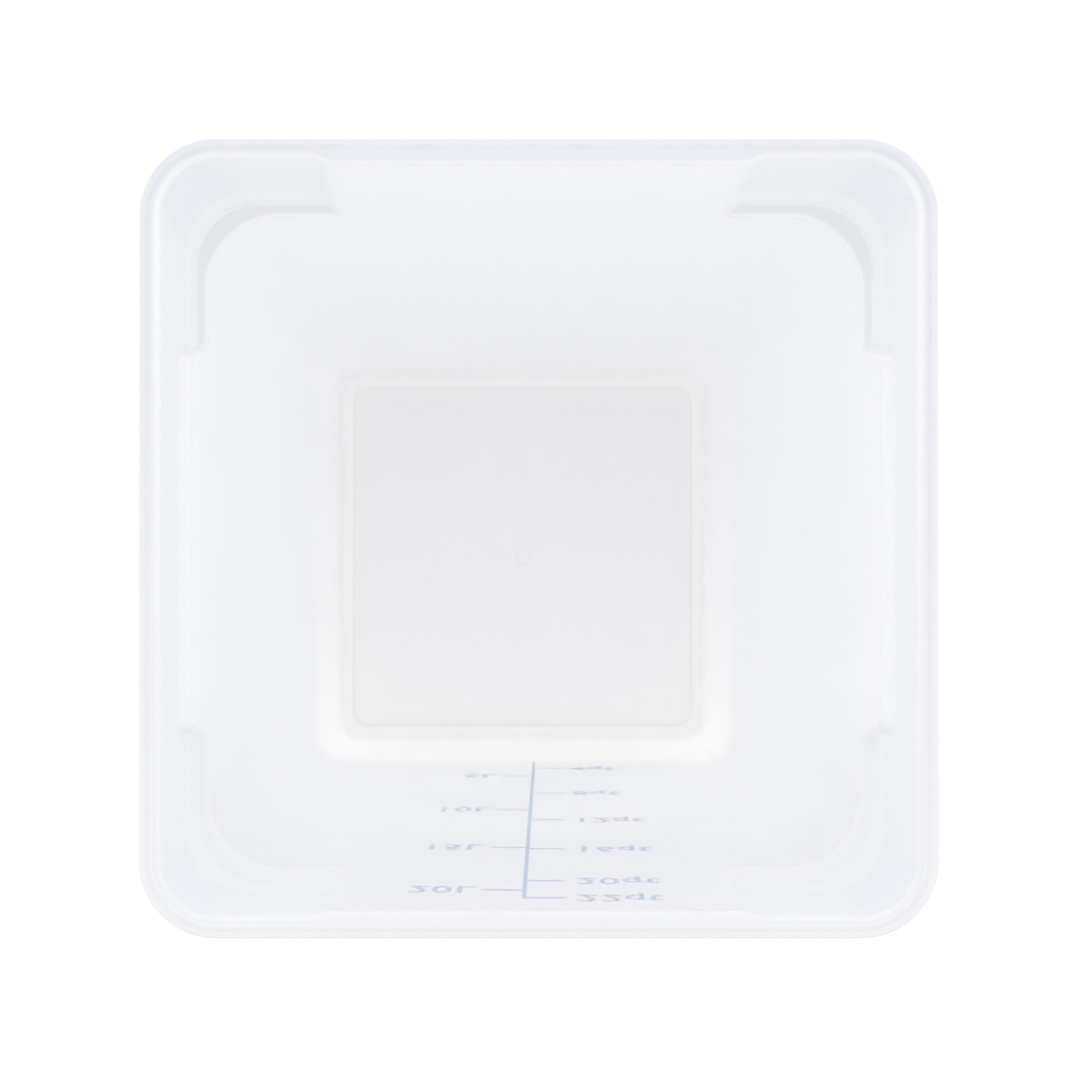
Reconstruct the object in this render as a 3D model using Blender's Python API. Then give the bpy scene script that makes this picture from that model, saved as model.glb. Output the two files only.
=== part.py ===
"""Square food storage container, open at the top, with a printed measuring scale.

The real object is one injection moulding in milky, see-through plastic. Its square
walls lean outwards so that empty containers nest. Near the mouth the four corners
step out to a wider collar, which ends in a ledge. The collar is shorter in the middle
of the left and right walls, where its step is the grip for the fingers, and it is
missing in the middle of the front and back walls. A flat rim with a skirt runs round
the mouth. The floor has a raised panel inside a ring, and the ring is the foot.

The scale is ink on the outside of the front wall: one printed line with its marks,
and one patch of ink for each numeral and letter.

Metres, +Z up. The front, with the scale, faces -Y. The origin is the middle of the
base, on the surface that the container stands on.
"""

import math

import bmesh
import bpy
from mathutils import Matrix, Vector

# Overall size
RIM_WIDTH = 0.287
HEIGHT = 0.400
RIM_CORNER_RADIUS = 0.028

# Walls
WALL_THICKNESS = 0.0025
WALL_TAPER = 0.027
PANEL_INSET = 0.0097
LEDGE_CORNER_RADIUS = 0.028
FLOOR_CORNER_RADIUS = 0.012

# Collar at the corners, measured from the rim
COLLAR_INSET = 0.0078
COLLAR_TAPER = 0.0014
COLLAR_CORNER_RADIUS = 0.0246
CORNER_LEDGE_DEPTH = 0.069
CORNER_LEDGE_FALL = 0.0014
LEDGE_INNER_ROUND = 0.0012
LEDGE_EDGE_ROUND = 0.0022
LEDGE_UNDER_ROUND = 0.0006

# Grips in the middle of the left and right walls
GRIP_LEDGE_DEPTH = 0.034
GRIP_CHAMFER_WIDTH = 0.0035
GRIP_CHAMFER_FALL = 0.0060
GRIP_STEP_WIDTH = 0.0012
GRIP_STEP_FALL = 0.0006
GRIP_FOOT_DROP = 0.0144
GRIP_HALF_LENGTH = 0.074

# Plain panels in the middle of the front and back walls
PANEL_HALF_LENGTH = 0.078
SECTION_BLEND = 0.010

# Rim
RIM_THICKNESS = 0.0030
RIM_EDGE_ROUND = 0.0010
SKIRT_DROP = 0.0090
SKIRT_THICKNESS = 0.0022
MOUTH_ROUND = 0.0037
PANEL_MOUTH_ROUND = 0.0023

# Floor
FLOOR_FILLET = 0.0039
FOOT_FLAT_WIDTH = 0.0049
FLOOR_SLOPE_WIDTH = 0.0087
FLOOR_RISE = 0.0022
FLOOR_PANEL_CORNER_RADIUS = 0.009
GATE_FIELD_RADIUS = 0.030
GATE_RADIUS = 0.004
GATE_BEVEL = 0.0006
GATE_RELIEF = 0.0005

# Printed scale
INK_THICKNESS = 0.00015
INK_GAP = 0.00015
FULL_MARK_DEPTH = 0.032
PRINT_LEAN = math.radians(1.9)
SPINE_WIDTH = 0.0017
SPINE_TAIL = 0.020
MARK_LENGTH = 0.0156
MARK_WIDTH = 0.0010
NUMERAL_HEIGHT = 0.0100
LETTER_SPACE = 0.0009
QUART_LABEL_GAP = 0.0042
LITRE_LABEL_GAP = 0.0033

# Marks on the scale: the numeral printed and how much of the full mark it stands for
FULL_QUARTS = 22
QUARTS_PER_LITRE = 1.05669
QUART_MARKS = (4, 8, 12, 16, 20, 22)
LITRE_MARKS = (5, 10, 15, 20)

# Proportions of the numerals, as shares of the type size
NUMERAL_HEIGHT_SHARE = 0.682
NUMERAL_STRETCH_SHARE = 1.10
ADVANCE_SHARES = {"q": 0.500, "t": 0.333, "L": 0.490}
FIGURE_ADVANCE_SHARE = 0.500

# Fineness of the surfaces
CORNER_SEGMENTS = 7
BLEND_SEGMENTS = 5
MOUTH_POINTS = 4
LEDGE_POINTS = 3
FILLET_POINTS = 4
GLYPH_RESOLUTION = 3

# Sizes that follow from the ones above
RIM_HALF = RIM_WIDTH / 2
WALL_RUN = HEIGHT - WALL_THICKNESS
WALL_TOP_HALF = RIM_HALF - PANEL_INSET
WALL_FLOOR_HALF = WALL_TOP_HALF - WALL_TAPER
WALL_SLOPE = WALL_TAPER / WALL_RUN
COLLAR_TOP_HALF = RIM_HALF - COLLAR_INSET
COLLAR_SLOPE = COLLAR_TAPER / CORNER_LEDGE_DEPTH
FOOT_OUTER_HALF = WALL_FLOOR_HALF - FLOOR_FILLET
FOOT_INNER_HALF = FOOT_OUTER_HALF - FOOT_FLAT_WIDTH
FLOOR_PANEL_HALF = FOOT_INNER_HALF - FLOOR_SLOPE_WIDTH

PLASTIC = ("milky polypropylene", (0.86, 0.87, 0.90, 0.55), 0.25)
INK = ("blue printing ink", (0.16, 0.33, 0.66, 1.0), 0.5)


def wall_half(depth):
    """Half width of the plain wall's inner face at a depth below the rim's top."""
    return WALL_TOP_HALF - WALL_SLOPE * depth


def collar_half(depth):
    """Half width of the collar's inner face at a depth below the rim's top."""
    return COLLAR_TOP_HALF - COLLAR_SLOPE * depth


def rounded(before, corner, after, radius, count):
    """Arc of the given radius in a corner of a profile, as count points."""
    middle = Vector(corner)
    back = (Vector(before) - middle).normalized()
    ahead = (Vector(after) - middle).normalized()
    half_angle = back.angle(ahead) / 2
    reach = radius / math.tan(half_angle)
    centre = middle + (back + ahead).normalized() * (radius / math.sin(half_angle))
    start = middle + back * reach - centre
    end = middle + ahead * reach - centre
    points = []
    for index in range(count):
        arm = start.slerp(end, index / (count - 1))
        points.append(tuple(centre + arm.normalized() * radius))
    return points


def profile(vertices):
    """Profile of (half width, depth, rounding, points) vertices as plain points."""
    points = []
    for index in range(1, len(vertices) - 1):
        half, depth, radius, count = vertices[index]
        if radius:
            before = vertices[index - 1][:2]
            after = vertices[index + 1][:2]
            points += rounded(before, (half, depth), after, radius, count)
        else:
            points.append((half, depth))
    return points


def floor_vertices(skin):
    """Profile below the ledges, shared by every section; skin is the wall's offset."""
    floor_depth = WALL_RUN + skin
    wall = (WALL_FLOOR_HALF + skin, floor_depth, FLOOR_FILLET + skin, FILLET_POINTS)
    ring = (FOOT_INNER_HALF, floor_depth, 0, 1)
    panel = (FLOOR_PANEL_HALF, floor_depth - FLOOR_RISE, 0, 1)
    middle = (0, floor_depth - FLOOR_RISE, 0, 1)
    return [wall, ring, panel, middle]


def mouth_vertices(inset, radius):
    """Profile of the mouth's rounded edge, inside."""
    outside = (RIM_HALF, 0, 0, 1)
    edge = (RIM_HALF - inset, 0, radius, MOUTH_POINTS)
    return [outside, edge]


def corner_inside():
    """Inner profile at the corners: collar, ledge, wall and floor."""
    ledge_end = CORNER_LEDGE_DEPTH + CORNER_LEDGE_FALL
    near = (collar_half(CORNER_LEDGE_DEPTH), CORNER_LEDGE_DEPTH, LEDGE_INNER_ROUND, LEDGE_POINTS)
    edge = (wall_half(ledge_end), ledge_end, LEDGE_EDGE_ROUND, LEDGE_POINTS)
    return profile(mouth_vertices(COLLAR_INSET, MOUTH_ROUND) + [near, edge] + floor_vertices(0))


def corner_outside():
    """Outer profile at the corners, one wall thickness outside the inner one."""
    top = (collar_half(RIM_THICKNESS) + WALL_THICKNESS, RIM_THICKNESS, 0, 1)
    near_depth = CORNER_LEDGE_DEPTH + WALL_THICKNESS
    near_half = collar_half(near_depth) + WALL_THICKNESS
    near = (near_half, near_depth, LEDGE_INNER_ROUND + WALL_THICKNESS, LEDGE_POINTS)
    end_depth = near_depth + CORNER_LEDGE_FALL
    edge = (wall_half(end_depth) + WALL_THICKNESS, end_depth, LEDGE_UNDER_ROUND, LEDGE_POINTS)
    above = (top[0], 0, 0, 1)
    return profile([above, top, near, edge] + floor_vertices(WALL_THICKNESS))


def grip_inside():
    """Inner profile through a grip: short collar, chamfer, small step, wall and floor."""
    start = collar_half(GRIP_LEDGE_DEPTH)
    chamfer_half = start - GRIP_CHAMFER_WIDTH
    chamfer_depth = GRIP_LEDGE_DEPTH + GRIP_CHAMFER_FALL
    step_half = chamfer_half - GRIP_STEP_WIDTH
    step_depth = chamfer_depth + GRIP_STEP_FALL
    foot_depth = step_depth + GRIP_FOOT_DROP
    near = (start, GRIP_LEDGE_DEPTH, LEDGE_INNER_ROUND, LEDGE_POINTS)
    chamfer = (chamfer_half, chamfer_depth, 0, 1)
    step = (step_half, step_depth, 0, 1)
    foot = (wall_half(foot_depth), foot_depth, 0, 1)
    return profile(mouth_vertices(COLLAR_INSET, MOUTH_ROUND) + [near, chamfer, step, foot]
                   + floor_vertices(0))


def grip_outside():
    """Outer profile through a grip; the fingers hook under its sloping ledge."""
    top = (collar_half(RIM_THICKNESS) + WALL_THICKNESS, RIM_THICKNESS, 0, 1)
    near_depth = GRIP_LEDGE_DEPTH + WALL_THICKNESS
    near_half = collar_half(near_depth) + WALL_THICKNESS
    near = (near_half, near_depth, LEDGE_INNER_ROUND + WALL_THICKNESS, LEDGE_POINTS)
    end_depth = near_depth + GRIP_CHAMFER_FALL
    edge = (wall_half(end_depth) + WALL_THICKNESS, end_depth, LEDGE_UNDER_ROUND, LEDGE_POINTS)
    above = (top[0], 0, 0, 1)
    return profile([above, top, near, edge] + floor_vertices(WALL_THICKNESS))


def panel_inside():
    """Inner profile through a plain panel: the corner's, kept to the wall's own face."""
    mouth = profile(mouth_vertices(PANEL_INSET, PANEL_MOUTH_ROUND)
                    + [(wall_half(WALL_RUN), WALL_RUN, 0, 1)])
    below = corner_inside()[MOUTH_POINTS:]
    return mouth + [(min(half, wall_half(depth)), depth) for half, depth in below]


def panel_outside():
    """Outer profile through a plain panel."""
    below = corner_outside()
    return [(min(half, wall_half(depth) + WALL_THICKNESS), depth) for half, depth in below]


def rim_profile():
    """The rim's rounded outer edge and its skirt, the same in every section."""
    edge = rounded((0, 0), (RIM_HALF, 0), (RIM_HALF, SKIRT_DROP), RIM_EDGE_ROUND, LEDGE_POINTS)
    skirt_inner = RIM_HALF - SKIRT_THICKNESS
    return edge + [(RIM_HALF, SKIRT_DROP), (skirt_inner, SKIRT_DROP), (skirt_inner, RIM_THICKNESS)]


def corner_radius(half, depth, skin):
    """Radius of a corner's arc in a ring of the wall's inner or outer face.

    The collar's arc is the tighter one, so its ledge is broadest in the corner.
    """
    if depth <= SKIRT_DROP:
        return RIM_CORNER_RADIUS - (RIM_HALF - half)
    ledge_start = CORNER_LEDGE_DEPTH + skin
    ledge_end = ledge_start + CORNER_LEDGE_FALL
    top = RIM_CORNER_RADIUS - COLLAR_INSET
    down = min((depth - SKIRT_DROP) / (ledge_start - SKIRT_DROP), 1)
    collar = top + (COLLAR_CORNER_RADIUS - top) * down
    down = min(max((depth - ledge_end) / (WALL_RUN - ledge_end), 0), 1)
    wall = LEDGE_CORNER_RADIUS + (FLOOR_CORNER_RADIUS - LEDGE_CORNER_RADIUS) * down
    ledge = collar_half(ledge_start) - wall_half(ledge_end)
    across = min(max((collar_half(ledge_start) + skin - half) / ledge, 0), 1)
    fillet = max(wall_half(depth) + skin - half, 0)
    return collar + (wall - collar) * across + skin - fillet


def smooth_step(share):
    """Zero to one along an S curve."""
    return share * share * (3 - 2 * share)


def quadrant(levels, radius, grip_end, panel_end):
    """A ring's points in one quarter, from a grip's end to a panel's end.

    levels holds the (half width, depth) of the corner, the grip and the panel.
    """
    (corner_half, corner_depth), grip, panel = levels
    points = []
    for index in range(BLEND_SEGMENTS + 1):
        share = index / BLEND_SEGMENTS
        weight = smooth_step(share)
        along = grip_end + SECTION_BLEND * (share - 0.5)
        half = grip[0] + (corner_half - grip[0]) * weight
        depth = grip[1] + (corner_depth - grip[1]) * weight
        points.append((half, along, HEIGHT - depth))
    centre = corner_half - radius
    for index in range(CORNER_SEGMENTS + 1):
        angle = math.pi / 2 * index / CORNER_SEGMENTS
        across = centre + radius * math.cos(angle)
        along = centre + radius * math.sin(angle)
        points.append((across, along, HEIGHT - corner_depth))
    for index in range(BLEND_SEGMENTS + 1):
        share = 1 - index / BLEND_SEGMENTS
        weight = smooth_step(share)
        across = panel_end + SECTION_BLEND * (share - 0.5)
        half = panel[0] + (corner_half - panel[0]) * weight
        depth = panel[1] + (corner_depth - panel[1]) * weight
        points.append((across, half, HEIGHT - depth))
    return points


def ring(levels, radius, grip_end, panel_end):
    """A closed ring of points round the container, one quarter mirrored three times."""
    first = quadrant(levels, radius, grip_end, panel_end)
    second = [(-x, y, z) for x, y, z in reversed(first)]
    third = [(-x, -y, z) for x, y, z in first]
    fourth = [(x, -y, z) for x, y, z in reversed(first)]
    return first + second + third + fourth


def disc_ring(count, radius, height):
    """A round ring of evenly spaced points, as many as the rings that it joins."""
    points = []
    for index in range(count):
        angle = math.tau * (index + 0.5) / count
        points.append((radius * math.cos(angle), radius * math.sin(angle), height))
    return points


def wall_rings(corner, grip, panel, skin, grip_end, panel_end):
    """Rings for one side of the wall, from the rim down to the floor's panel."""
    rings = []
    for levels in zip(corner, grip, panel):
        half, depth = levels[0]
        radius = corner_radius(half, depth, skin)
        spread = 1
        if half < FOOT_OUTER_HALF:
            radius = FLOOR_PANEL_CORNER_RADIUS
            spread = half / FOOT_OUTER_HALF
        rings.append(ring(levels, radius, grip_end * spread, panel_end * spread))
    return rings


def gate_rings(count, height):
    """The round mark that the mould leaves in the middle of the floor's panel."""
    inner_radius = GATE_RADIUS - GATE_BEVEL
    field = disc_ring(count, GATE_FIELD_RADIUS, height)
    edge = disc_ring(count, GATE_RADIUS, height)
    top = disc_ring(count, inner_radius, height + GATE_RELIEF)
    return [field, edge, top]


def body_rings():
    """Every ring of the container, from the floor's middle inside to the one outside."""
    inside = wall_rings(corner_inside(), grip_inside(), panel_inside(), 0,
                        GRIP_HALF_LENGTH, PANEL_HALF_LENGTH)
    inside += gate_rings(len(inside[-1]), WALL_THICKNESS + FLOOR_RISE)
    rim = rim_profile()
    outer_grip_end = GRIP_HALF_LENGTH - WALL_THICKNESS
    outer_panel_end = PANEL_HALF_LENGTH - WALL_THICKNESS
    outside = wall_rings(rim, rim, rim, WALL_THICKNESS, outer_grip_end, outer_panel_end)
    outside += wall_rings(corner_outside(), grip_outside(), panel_outside(), WALL_THICKNESS,
                          outer_grip_end, outer_panel_end)
    outside += gate_rings(len(outside[-1]), FLOOR_RISE)
    return inside[::-1] + outside


def material(name, colour, roughness):
    """A plain material with a colour and a roughness."""
    finish = bpy.data.materials.new(name)
    finish.use_nodes = True
    shader = finish.node_tree.nodes["Principled BSDF"]
    shader.inputs["Base Color"].default_value = colour[:3] + (1.0,)
    shader.inputs["Alpha"].default_value = colour[3]
    shader.inputs["Roughness"].default_value = roughness
    shader.inputs["Metallic"].default_value = 0.0
    return finish


def add_object(name, data, finish, place=Matrix.Identity(4)):
    """Links an object for the data, with its own finish and place."""
    piece = bpy.data.objects.new(name, data)
    data.materials.append(finish)
    piece.matrix_world = place
    bpy.context.scene.collection.objects.link(piece)
    return piece


def container_body(finish):
    """The moulding, skinned over its rings."""
    mesh = bpy.data.meshes.new("container_body")
    build = bmesh.new()
    loops = [[build.verts.new(point) for point in points] for points in body_rings()]
    for lower, upper in zip(loops, loops[1:]):
        count = len(lower)
        for index in range(count):
            after = (index + 1) % count
            build.faces.new((lower[index], lower[after], upper[after], upper[index]))
    build.faces.new(loops[0])
    build.faces.new(reversed(loops[-1]))
    bmesh.ops.recalc_face_normals(build, faces=build.faces)
    build.to_mesh(mesh)
    build.free()
    mesh.shade_smooth()
    mesh.set_sharp_from_angle(angle=math.radians(30))
    return add_object("container_body", mesh, finish)


def mark_depth(quarts):
    """Depth of the level that so many quarts reach, from the walls' own taper."""
    floor_cube = WALL_FLOOR_HALF ** 3
    full_cube = wall_half(FULL_MARK_DEPTH) ** 3
    half = (floor_cube + (full_cube - floor_cube) * quarts / FULL_QUARTS) ** (1 / 3)
    return (WALL_TOP_HALF - half) / WALL_SLOPE


def print_frame():
    """Frame on the front wall's outer face: x to the right, y up the wall, z outwards.

    Its origin is halfway along the scale, and the print leans a little on the wall.
    """
    middle_depth = (FULL_MARK_DEPTH + mark_depth(QUART_MARKS[0])) / 2
    across = Vector((1, 0, 0))
    up = Vector((0, -WALL_SLOPE, 1)).normalized()
    out = across.cross(up)
    origin = Vector((0, -wall_half(middle_depth) - WALL_THICKNESS, HEIGHT - middle_depth))
    origin += out * INK_GAP
    axes = Matrix((across, up, out)).transposed().to_4x4()
    return Matrix.Translation(origin) @ axes @ Matrix.Rotation(PRINT_LEAN, 4, "Z")


def mark_place(quarts):
    """Where a mark lies along the spine, from the print frame's origin."""
    middle_depth = (FULL_MARK_DEPTH + mark_depth(QUART_MARKS[0])) / 2
    slant = math.hypot(1, WALL_SLOPE) / math.cos(PRINT_LEAN)
    return (middle_depth - mark_depth(quarts)) * slant


def comb_side(marks, side):
    """Outline of the spine's one side with its marks, from the bottom to the top."""
    edge = side * SPINE_WIDTH / 2
    tip = side * MARK_LENGTH
    points = []
    for quarts in marks:
        place = mark_place(quarts)
        low = place - MARK_WIDTH / 2
        high = place + MARK_WIDTH / 2
        points += [(edge, low), (tip, low), (tip, high), (edge, high)]
    return points


def scale_line(finish, frame):
    """The printed spine with its marks: quarts to the right and litres to the left."""
    right = comb_side(QUART_MARKS, 1)
    left = comb_side([QUARTS_PER_LITRE * litres for litres in LITRE_MARKS], -1)
    bottom = mark_place(QUART_MARKS[0]) - SPINE_TAIL
    top = mark_place(FULL_QUARTS) + MARK_WIDTH / 2
    half = SPINE_WIDTH / 2
    outline = [(-half, bottom), (half, bottom)] + right[:-1] + [(-half, top)] + left[::-1]
    mesh = bpy.data.meshes.new("scale_line")
    build = bmesh.new()
    corners = [build.verts.new((x, y, 0)) for x, y in outline]
    face = build.faces.new(corners)
    grown = bmesh.ops.extrude_face_region(build, geom=[face])
    raised = [item for item in grown["geom"] if isinstance(item, bmesh.types.BMVert)]
    bmesh.ops.translate(build, verts=raised, vec=(0, 0, INK_THICKNESS))
    bmesh.ops.recalc_face_normals(build, faces=build.faces)
    build.to_mesh(mesh)
    build.free()
    return add_object("scale_line", mesh, finish, frame)


def advance(letter, type_size):
    """How far the type moves on after a letter."""
    share = ADVANCE_SHARES.get(letter, FIGURE_ADVANCE_SHARE)
    return share * NUMERAL_STRETCH_SHARE * type_size + LETTER_SPACE


def label(finish, frame, words, quarts, side):
    """One printed label beside its mark, one solid for each numeral or letter."""
    type_size = NUMERAL_HEIGHT / NUMERAL_HEIGHT_SHARE
    stretch = Matrix.Scale(NUMERAL_STRETCH_SHARE, 4, Vector((1, 0, 0)))
    width = sum(advance(letter, type_size) for letter in words) - LETTER_SPACE
    if side > 0:
        pen = MARK_LENGTH + QUART_LABEL_GAP
    else:
        pen = -MARK_LENGTH - LITRE_LABEL_GAP - width
    baseline = mark_place(quarts) - NUMERAL_HEIGHT / 2
    for index, letter in enumerate(words):
        data = bpy.data.curves.new("glyph", "FONT")
        data.body = letter
        data.size = type_size
        data.extrude = INK_THICKNESS / 2
        data.resolution_u = GLYPH_RESOLUTION
        place = frame @ Matrix.Translation((pen, baseline, INK_THICKNESS / 2)) @ stretch
        add_object(f"scale_{words}_{index + 1}_{letter}", data, finish, place)
        pen += advance(letter, type_size)


def main():
    """Builds the container and its printed scale."""
    for old in list(bpy.data.objects):
        bpy.data.objects.remove(old)
    container_body(material(*PLASTIC))
    ink = material(*INK)
    frame = print_frame()
    scale_line(ink, frame)
    for quarts in QUART_MARKS:
        label(ink, frame, f"{quarts}qt", quarts, 1)
    for litres in LITRE_MARKS:
        label(ink, frame, f"{litres}L", QUARTS_PER_LITRE * litres, -1)


main()
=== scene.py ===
# %% [markdown]
# # A square food storage container, seen from straight above
#
# The real object is one injection moulding in milky, see-through plastic, with a
# measuring scale printed in blue on its front wall. It stands open, with no lid.
#
# This lesson builds it in the order a maker would think of it: the camera, the light,
# the finishes, the moulding, the print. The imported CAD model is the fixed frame. Every
# length is in metres in that frame, so a piece goes exactly where the CAD says.

# %% Load the frame
import math

import bmesh
import bpy
from mathutils import Matrix, Vector


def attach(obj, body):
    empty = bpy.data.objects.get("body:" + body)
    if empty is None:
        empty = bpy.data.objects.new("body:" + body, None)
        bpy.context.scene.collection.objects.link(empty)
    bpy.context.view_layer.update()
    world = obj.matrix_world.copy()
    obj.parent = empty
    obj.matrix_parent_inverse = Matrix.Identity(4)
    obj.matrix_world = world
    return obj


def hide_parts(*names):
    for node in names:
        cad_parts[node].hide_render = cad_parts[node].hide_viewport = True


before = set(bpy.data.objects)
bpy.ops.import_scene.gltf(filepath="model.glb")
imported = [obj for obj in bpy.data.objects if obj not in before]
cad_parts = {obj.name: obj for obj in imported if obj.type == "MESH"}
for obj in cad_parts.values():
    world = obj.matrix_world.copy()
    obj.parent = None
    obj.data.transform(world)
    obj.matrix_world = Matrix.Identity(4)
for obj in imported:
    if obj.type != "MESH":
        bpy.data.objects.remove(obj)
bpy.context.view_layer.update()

# %% [markdown]
# ## Camera
#
# The picture was taken from straight above, a little left of the middle and a little
# to the front. The lens is level with the table, so the square rim stays square, and
# the off-centre place shows in the walls: more of the back wall is seen than of the
# front one. A sideways shift of the lens frames the object without turning it.

# %% Camera
PICTURE_PIXELS = 1080
FOCAL_PIXELS = 1788.8
SENSOR_MILLIMETRES = 36
POINT_BELOW_LENS = (496.6, 586.7)
LENS_PLACE = (-0.01506, -0.0174, 1.040)

lens = bpy.data.cameras.new("camera")
lens.sensor_width = SENSOR_MILLIMETRES
lens.lens = SENSOR_MILLIMETRES * FOCAL_PIXELS / PICTURE_PIXELS
lens.shift_x = 0.5 - POINT_BELOW_LENS[0] / PICTURE_PIXELS
lens.shift_y = POINT_BELOW_LENS[1] / PICTURE_PIXELS - 0.5
camera = bpy.data.objects.new("camera", lens)
camera.location = LENS_PLACE
bpy.context.scene.collection.objects.link(camera)
bpy.context.scene.camera = camera
print("lens", round(lens.lens, 2), "mm, shift", round(lens.shift_x, 4), round(lens.shift_y, 4))

# %% [markdown]
# ## A short way to write node trees
#
# Materials and Geometry Nodes are both trees of nodes joined by links. Writing each
# node over four lines hides the idea, so one helper adds a node, sets what is given,
# and links what comes from another node. A value that is a socket becomes a link, and
# any other value is set on the input itself.


# %% Tree helper
class Tree:
    """Adds nodes to a node tree, from left to right."""

    def __init__(self, nodes_of):
        self.tree = nodes_of
        self.column = 0

    def add(self, kind, inputs=None, **settings):
        node = self.tree.nodes.new(kind)
        self.column += 1
        node.location = (180 * (self.column % 12), -220 * (self.column // 12))
        for name, value in settings.items():
            setattr(node, name, value)
        for key, value in (inputs or {}).items():
            socket = node.inputs[key]
            if isinstance(value, bpy.types.NodeSocket):
                self.tree.links.new(value, socket)
            else:
                socket.default_value = value
        return node

    def math(self, operation, *values):
        inputs = dict(enumerate(values))
        return self.add("ShaderNodeMath", inputs, operation=operation).outputs[0]

    def either(self, share, first, second):
        """The first value where share is 0, the second where it is 1."""
        return self.add("ShaderNodeMix", {0: share, 2: first, 3: second}).outputs[0]

    def ramp(self, value, low, high, to_low=0.0, to_high=1.0, kind="LINEAR"):
        """Maps low..high to another range and holds it there beyond the ends."""
        inputs = {0: value, 1: low, 2: high, 3: to_low, 4: to_high}
        return self.add("ShaderNodeMapRange", inputs, interpolation_type=kind).outputs[0]


# %% [markdown]
# ## Floor, backdrop and light
# The tones of the rim and ledges further down are painted darker as well, a painted shade.
#
# Food containers like this are pictured on a white sweep inside a ring of large soft
# lamps, so the light comes from all round and no shadow is hard. Here a white world does
# most of the work. It is brighter near the horizon than overhead and a little brighter
# behind than in front, and three broad lamps stand low round the object, the strongest
# behind it. So upright walls glow, and the level rim and ledges, which face the dimmer
# part of the studio, stay a shade darker, as in the picture.
#
# The sweep is overexposed in such a picture: it shows as pure white, and its shadows are
# faint. For the camera and for reflections, most of its white is therefore a glow, which
# adds no light to the object, and the rest is matt and still takes the container's soft
# shadow. All other rays meet a plain white matt board.

# %% Floor
FLOOR_SIZE = 8.0
BOARD_WHITE = 0.92
SEEN_MATT = 0.25
SEEN_GLOW = 0.84


def sweep_material():
    finish = bpy.data.materials.new("white sweep")
    finish.use_nodes = True
    tree = Tree(finish.node_tree)
    finish.node_tree.nodes.clear()
    rays = tree.add("ShaderNodeLightPath").outputs
    seen = tree.math("MAXIMUM", rays["Is Camera Ray"], rays["Is Glossy Ray"])
    seen = tree.math("MAXIMUM", seen, rays["Is Transmission Ray"])
    shade = tree.either(seen, BOARD_WHITE, SEEN_MATT)
    matt = tree.add("ShaderNodeBsdfDiffuse", {"Color": shade})
    glow = tree.add("ShaderNodeEmission", {"Strength": tree.math("MULTIPLY", seen, SEEN_GLOW)})
    both = tree.add("ShaderNodeAddShader", {0: matt.outputs[0], 1: glow.outputs[0]})
    tree.add("ShaderNodeOutputMaterial", {"Surface": both.outputs[0]})
    return finish


floor_mesh = bpy.data.meshes.new("floor")
edge = FLOOR_SIZE / 2
corners = [(-edge, -edge, 0), (edge, -edge, 0), (edge, edge, 0), (-edge, edge, 0)]
floor_mesh.from_pydata(corners, [], [(0, 1, 2, 3)])
floor_mesh.materials.append(sweep_material())
floor = bpy.data.objects.new("floor", floor_mesh)
bpy.context.scene.collection.objects.link(floor)
print("floor", FLOOR_SIZE, "m square")

# %% World and lamps
HORIZON_STRENGTH = 1.25
OVERHEAD_STRENGTH = 0.98
BACK_LIFT = 0.06
LAMP_WATTS = {"lamp_right": 5.5, "lamp_back": 7.0, "lamp_left": 5.5}
LAMP_SIZE = 1.5
LAMP_DISTANCE = 1.9
LAMP_HEIGHT = 0.55
AIM_HEIGHT = 0.25


def soft_lamp(name, place, watts):
    """A broad square lamp that faces the middle of the container."""
    data = bpy.data.lights.new(name, "AREA")
    data.size = LAMP_SIZE
    data.energy = watts
    lamp = bpy.data.objects.new(name, data)
    lamp.location = place
    aim = Vector((0, 0, AIM_HEIGHT)) - Vector(place)
    lamp.rotation_euler = aim.to_track_quat("-Z", "Y").to_euler()
    bpy.context.scene.collection.objects.link(lamp)
    return lamp


world = bpy.data.worlds.new("white studio")
world.use_nodes = True
background = world.node_tree.nodes["Background"]
studio = Tree(world.node_tree)
rays = studio.add("ShaderNodeLightPath").outputs
seen = studio.math("MAXIMUM", rays["Is Camera Ray"], rays["Is Transmission Ray"])
direction = studio.add("ShaderNodeTexCoord").outputs["Generated"]
toward = studio.add("ShaderNodeSeparateXYZ", {0: direction}).outputs
strength = studio.ramp(toward["Z"], 0.0, 1.0, HORIZON_STRENGTH, OVERHEAD_STRENGTH)
strength = studio.math("MULTIPLY_ADD", toward["Y"], BACK_LIFT, strength)
strength = studio.either(seen, strength, 1.0)
world.node_tree.links.new(strength, background.inputs["Strength"])
background.inputs["Color"].default_value = (1, 1, 1, 1)
bpy.context.scene.world = world
bpy.context.scene.view_settings.view_transform = "Standard"
for index, (name, watts) in enumerate(LAMP_WATTS.items()):
    turn = index * math.pi / 2
    place = (LAMP_DISTANCE * math.cos(turn), LAMP_DISTANCE * math.sin(turn), LAMP_HEIGHT)
    soft_lamp(name, place, watts)
print("world from", HORIZON_STRENGTH, "to", OVERHEAD_STRENGTH, "and lamps:", LAMP_WATTS)
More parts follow.
